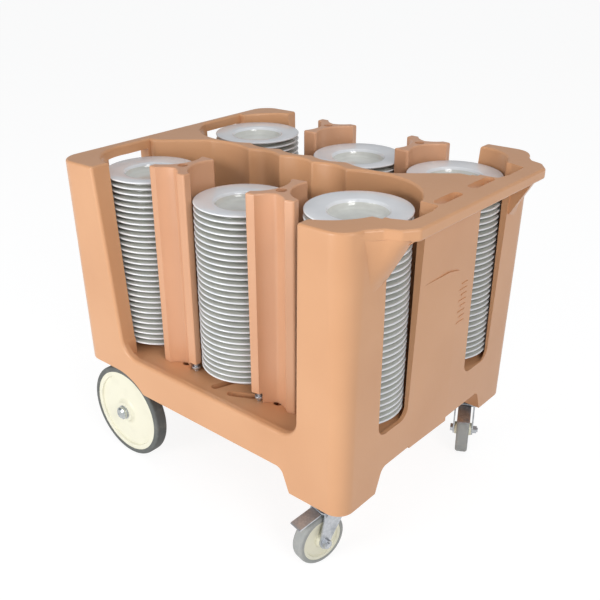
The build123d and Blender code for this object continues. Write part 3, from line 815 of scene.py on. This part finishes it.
@dataclass
class PlateStack:
    """One stack of nested plates in the bin.

    Each profile gives points outwards and upwards from a corner: foot_ring from the foot's edge on the
    floor, lip_lower and lip_upper from a lip's lower and upper edge, and brim and well from the inner
    edge of the top plate's brim, at the height of the brim and of the well. The plates are narrower
    than their node by spare times loose on each side, which leaves them room to shift.
    """

    number: int
    loose: float = 0.0006
    spare: float = 1.5
    clearance: float = 0.0002
    pitch: float = 0.0146
    lowest_rim: float = 0.024
    lip: float = 0.0048
    lip_middle: float = 0.003
    lip_band: float = 0.008
    rim_fall: float = 0.004
    rim_width: float = 0.047
    groove: float = 0.042
    groove_rise: float = 0.0012
    foot_share: float = 0.62
    foot_rise: float = 0.002
    well_depth: float = 0.018
    well_crown: float = 0.0004
    # share of a pitch below the top rim where the painted gap shade begins
    shaded_share: float = 0.6
    segments: int = 72
    seed: int = 40
    foot_ring: tuple[Point, ...] = ((-0.007, 0.002), (-0.005, 0.0), (0.0, 0.0), (0.002, 0.002))
    lip_lower: tuple[Point, ...] = ((-0.014, -0.0026), (-0.0026, 0.0), (-0.0004, 0.0014))
    lip_upper: tuple[Point, ...] = ((0.0, -0.0018), (-0.0009, -0.0005), (-0.0026, 0.0))
    brim: tuple[Point, ...] = ((0.004, 0.0004), (0.0008, 0.0), (-0.0006, -0.0014), (-0.0024, -0.006))
    well: tuple[Point, ...] = ((-0.0044, 0.0046), (-0.008, 0.0012), (-0.014, 0.0))

    def outline(self, radius: float, low: float, high: float) -> tuple[list[Point], list[float]]:
        """Outline of the whole stack.

        Args:
            radius: Radius of the plates.
            low: Height of the floor.
            high: Height of the upper rim.

        Returns:
            The outline from the lower pole to the upper one, and the height of each plate's rim.
        """
        count = int((high - low - self.lowest_rim) / self.pitch) + 1
        rims = [high - (count - 1 - k) * self.pitch for k in range(count)]
        points = [(0.0, low + self.foot_rise)]
        points += moved(self.foot_ring, radius * self.foot_share, low)
        for rim in rims:
            if rim > rims[0]:
                points.append((radius - self.groove, rim - self.pitch + self.groove_rise))
            points += moved(self.lip_lower, radius, rim - self.lip)
            points += moved(self.lip_upper, radius, rim)
            if rim < rims[-1]:
                points.append((radius - self.groove, rim - self.rim_fall))
        edge = radius - self.rim_width
        inside = high - self.rim_fall
        bottom = inside - self.well_depth
        points += moved(self.brim, edge, inside)
        points += moved(self.well, edge, bottom)
        points.append((0.0, bottom + self.well_crown))
        return points, rims

    def loosen(self, stack: bpy.types.Object, centre: Vector, radius: float, rims: list[float]) -> None:
        """Shifts each plate's lip a little, as in a stack laid by hand.

        Args:
            stack: The stack.
            centre: Place of its axis on the ground.
            radius: Radius of the plates.
            rims: Height of each plate's rim.
        """
        draw = random.Random(self.seed + self.number)
        shifts = [(draw.uniform(-1, 1) * self.loose, draw.uniform(-1, 1) * self.loose) for _ in rims]
        for vertex in stack.data.vertices:
            if (vertex.co - centre).xy.length > radius - self.lip_band:
                gaps = [abs(rim - self.lip_middle - vertex.co.z) for rim in rims]
                across, along = shifts[gaps.index(min(gaps))]
                vertex.co.x += across
                vertex.co.y += along

    def build(self) -> None:
        """Makes, loosens and dresses the stack, with painted shade in the gaps between its plates."""
        node = f"plate_stack_{self.number}"
        low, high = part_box(node)
        centre = Vector(((low.x + high.x) / 2, (low.y + high.y) / 2, 0))
        radius = (high.x - low.x) / 2 - self.loose * self.spare
        points, rims = self.outline(radius, low.z, high.z - self.clearance)
        stack = Bench.turned(f"plates_{self.number}", points, self.segments, centre)
        self.loosen(stack, centre, radius, rims)
        Bench.hold(stack)
        bpy.ops.object.shade_smooth_by_angle(angle=radians(CREASE_ANGLE))
        Bench.dress(stack, Dressing.CHINA)
        # The second material, a darker glaze, is painted shade: it goes on the faces inside the lips and
        # below the top rim, which are the gaps between the plates and the top plate's well.
        stack.data.materials.append(Dressing.PAINTED_GAP_SHADE.material())
        for face in stack.data.polygons:
            inside = (face.center - centre).xy.length < radius - self.lip
            below = face.center.z < high.z - self.pitch * self.shaded_share
            face.material_index = int(inside and below)
        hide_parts(node)
        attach(stack, f"plates_{self.number}")
        LOG.info("stack %d: %d plates, %d faces", self.number, len(rims), len(stack.data.polygons))


@dataclass
class RunningGear:
    """The wheels, casters and their fastenings, which keep their nodes under new finishes."""

    finishes: dict[str, Dressing] = field(default_factory=lambda: {
        "rear_tyre": Dressing.REAR_RUBBER,
        "caster_tyre": Dressing.CASTER_RUBBER,
        "rear_hub": Dressing.HUB,
        "caster_hub": Dressing.HUB,
        "rear_bush": Dressing.BUSH,
        "caster_bush": Dressing.BUSH,
        "axle_cap": Dressing.CAP,
    })

    def build(self) -> None:
        """Dresses each node that still shows, apart from the towers."""
        for name, node in frame["nodes"].items():
            if node.hide_render or name in TOWERS:
                continue
            dressing = Dressing.ZINC
            for start, finish in self.finishes.items():
                if name.startswith(start):
                    dressing = finish
            Bench.smoothed(node, dressing)
            LOG.info("%s: %s", name, dressing.name.lower())


# ---------------------------------------------------------------- studio
@dataclass(frozen=True)
class Lamp:
    """One soft square lamp, by its name, place, side in metres and power in watts."""

    name: str
    place: Place
    side: float
    power: float

    def hang(self, target: Vector) -> None:
        """Hangs the lamp.

        Args:
            target: What it faces.
        """
        data = bpy.data.lights.new(self.name, "AREA")
        data.size = self.side
        data.energy = self.power
        lamp = bpy.data.objects.new(self.name, data)
        lamp.location = self.place
        lamp.rotation_euler = (target - Vector(self.place)).to_track_quat("-Z", "Y").to_euler()
        bpy.context.scene.collection.objects.link(lamp)


@dataclass
class Studio:
    """Pale floor, soft lights and the camera at the photograph's angle."""

    camera_place: Place = (1.22845, -1.45103, 1.34892)
    yaw: float = 40.46
    pitch: float = 26.15
    roll: float = -0.07
    sensor: float = 36.0
    lens: float = 50.042
    shift: Point = (-0.00165, 0.01605)
    farthest: float = 200.0
    floor_size: float = 60.0
    floor_drop: float = 0.0002
    floor_grey: float = 0.8
    seen_grey: float = 0.2
    seen_glow: float = 0.87
    sky: Colour = (0.95, 0.97, 1, 1)
    sky_strength: float = 0.42
    lamps: tuple[Lamp, ...] = (
        Lamp("key", (-0.7, -3.8, 1.0), 1.8, 84),
        Lamp("top", (0.4, 0.3, 4.2), 3.0, 28),
        Lamp("fill", (3.3, -1.6, 2.3), 1.6, 54),
    )
    lit_height: float = 0.45

    def camera(self) -> None:
        """Places the camera."""
        data = bpy.data.cameras.new("camera")
        data.sensor_width = self.sensor
        data.lens = self.lens
        data.shift_x, data.shift_y = self.shift
        data.clip_end = self.farthest
        camera = bpy.data.objects.new("camera", data)
        turn = Matrix.Rotation(radians(self.yaw), 4, "Z")
        turn = turn @ Matrix.Rotation(radians(90 - self.pitch), 4, "X")
        turn = turn @ Matrix.Rotation(radians(self.roll), 4, "Z")
        camera.matrix_world = Matrix.Translation(self.camera_place) @ turn
        bpy.context.scene.collection.objects.link(camera)
        bpy.context.scene.camera = camera

    def floor(self) -> None:
        """Lays a large pale floor that keeps a soft shadow."""
        Bench.clear()
        bpy.ops.mesh.primitive_plane_add(size=self.floor_size, location=(0, 0, -self.floor_drop))
        ground = bpy.context.object
        ground.name = "floor"
        material = bpy.data.materials.new("pale floor")
        material.use_nodes = True
        graph = Graph(material.node_tree)
        seen = graph.seen_by("Camera", "Glossy", "Transmission")
        plain = graph.add("ShaderNodeBsdfDiffuse", {}, {"Color": grey(self.floor_grey)}).value()
        shaded = graph.add("ShaderNodeBsdfDiffuse", {}, {"Color": grey(self.seen_grey)}).value()
        inputs = {"Color": WHITE, "Strength": self.seen_glow}
        glow = graph.add("ShaderNodeEmission", {}, inputs).value()
        white = graph.add("ShaderNodeAddShader", {}, {0: shaded, 1: glow}).value()
        both = graph.add("ShaderNodeMixShader", {}, {0: seen, 1: plain, 2: white}).value()
        graph.add("ShaderNodeOutputMaterial", {}, {"Surface": both})
        ground.data.materials.append(material)

    def world(self) -> None:
        """Lights the scene evenly from all round."""
        world = bpy.data.worlds.new("studio")
        bpy.context.scene.world = world
        world.use_nodes = True
        graph = Graph(world.node_tree)
        seen = graph.seen_by("Camera", "Transmission")
        inputs = {"Color": self.sky, "Strength": self.sky_strength}
        light = graph.add("ShaderNodeBackground", {}, inputs).value()
        white = graph.add("ShaderNodeBackground", {}, {"Color": WHITE, "Strength": 1.0}).value()
        both = graph.add("ShaderNodeMixShader", {}, {0: seen, 1: light, 2: white}).value()
        graph.add("ShaderNodeOutputWorld", {}, {"Surface": both})

    def build(self) -> None:
        """Sets up the whole studio."""
        bpy.context.scene.view_settings.view_transform = "Standard"
        self.camera()
        self.floor()
        self.world()
        for lamp in self.lamps:
            lamp.hang(Vector((0, 0, self.lit_height)))
        LOG.info("studio ready")


def main() -> None:
    """Builds the cart and the studio."""
    logging.basicConfig(level=logging.INFO, format="%(name)s: %(message)s")
    Bodywork().build()
    for number in range(1, STACKS + 1):
        PlateStack(number).build()
    RunningGear().build()
    Studio().build()
    Bench.clear()


if __name__ == "__main__":
    main()
